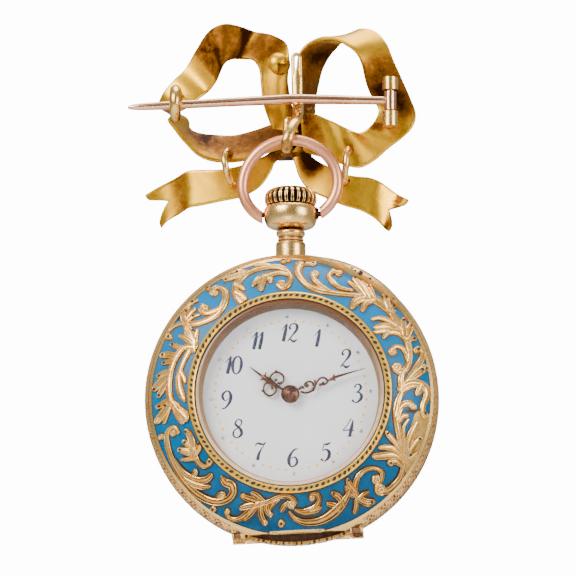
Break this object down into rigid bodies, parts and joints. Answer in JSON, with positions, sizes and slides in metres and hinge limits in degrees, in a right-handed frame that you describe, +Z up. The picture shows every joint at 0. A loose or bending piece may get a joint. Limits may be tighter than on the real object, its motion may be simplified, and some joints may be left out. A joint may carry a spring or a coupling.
{
  "type": "pendant watch on a bow brooch",
  "caption": "Round enamelled pendant watch that hangs by a rose gold ring from the hook of a gold ribbon bow brooch, seen from the brooch's pin side",
  "frame": {"origin": "On the axis of the brooch's pin, right above the middle of the watch, where cloth would hold the pin", "axes": "+Z up, along the height of the hanging watch; -Y out of the watch's dial, which is also the side of the brooch's pin; +X to the right when facing the dial"},
  "size_m": [0.032, 0.0119, 0.0552],
  "materials": {
    "ribbon_gold": "polished yellow gold, tarnished brown inside the loops",
    "finding_gold": "polished pale gold",
    "pin_gold": "polished reddish gold",
    "rose_gold": "polished rose gold",
    "pendant_gold": "polished yellow gold",
    "case_gold": "polished yellow gold, engraved on the rim",
    "enamel_blue": "glossy translucent blue enamel over engraved gold",
    "scroll_gold": "chased gold",
    "crystal_glass": "clear polished glass",
    "dial_enamel": "white enamel with painted blue numerals",
    "hand_gold": "dark polished gold"
  },
  "bodies": {
    "brooch": {"bow": "ribbon_gold", "watch_hook": "finding_gold", "pin_catch": "finding_gold", "hinge_barrel": "finding_gold"},
    "pin": {"pin_stem": "pin_gold"},
    "ring": {"bow_ring": "rose_gold"},
    "case": {"case_middle": "case_gold", "pendant_neck": "pendant_gold", "dial": "dial_enamel", "hand_arbor": "hand_gold"},
    "cover": {"front_bezel": "case_gold", "enamel_ring": "enamel_blue", "scrollwork": "scroll_gold", "crystal": "crystal_glass"},
    "back": {"back_cover": "case_gold"},
    "winder": {"crown": "pendant_gold"},
    "hours": {"hour_hand": "hand_gold"},
    "minutes": {"minute_hand": "hand_gold"}
  },
  "joints": [
    {"name": "pin_swing", "type": "hinge", "parent": "brooch", "child": "pin", "pos_m": [0.01024, 0, 0], "axis": [0, 0, 1], "range_deg": [0, 100]},
    {"name": "ring_swing", "type": "hinge", "parent": "brooch", "child": "ring", "pos_m": [-0.0004, -0.0006, -0.00521], "axis": [0, 1, 0], "range_deg": [-25, 25]},
    {"name": "bow_fold", "type": "hinge", "parent": "ring", "child": "case", "pos_m": [0, -0.0006, -0.012], "axis": [1, 0, 0], "range_deg": [-100, 80]},
    {"name": "bezel_open", "type": "hinge", "parent": "case", "child": "cover", "pos_m": [0.00071, -0.0016, -0.0451], "axis": [0.9991, 0, 0.0419], "range_deg": [0, 95]},
    {"name": "back_open", "type": "hinge", "parent": "case", "child": "back", "pos_m": [0.00073, 0.0004, -0.04552], "axis": [-0.9991, 0, -0.0419], "range_deg": [0, 95]},
    {"name": "crown_turn", "type": "hinge", "parent": "case", "child": "winder", "pos_m": [0, -0.0006, -0.01], "axis": [0, 0, 1], "continuous": true},
    {"name": "minute_turn", "type": "hinge", "parent": "case", "child": "minutes", "pos_m": [0.00014, -0.0043, -0.03143], "axis": [0, 1, 0], "continuous": true},
    {"name": "hour_turn", "type": "hinge", "parent": "case", "child": "hours", "pos_m": [0.00014, -0.0043, -0.03143], "axis": [0, 1, 0], "continuous": true}
  ],
  "couplings": [
    {"joint": "hour_turn", "follows": "minute_turn", "ratio": 0.083333}
  ]
}
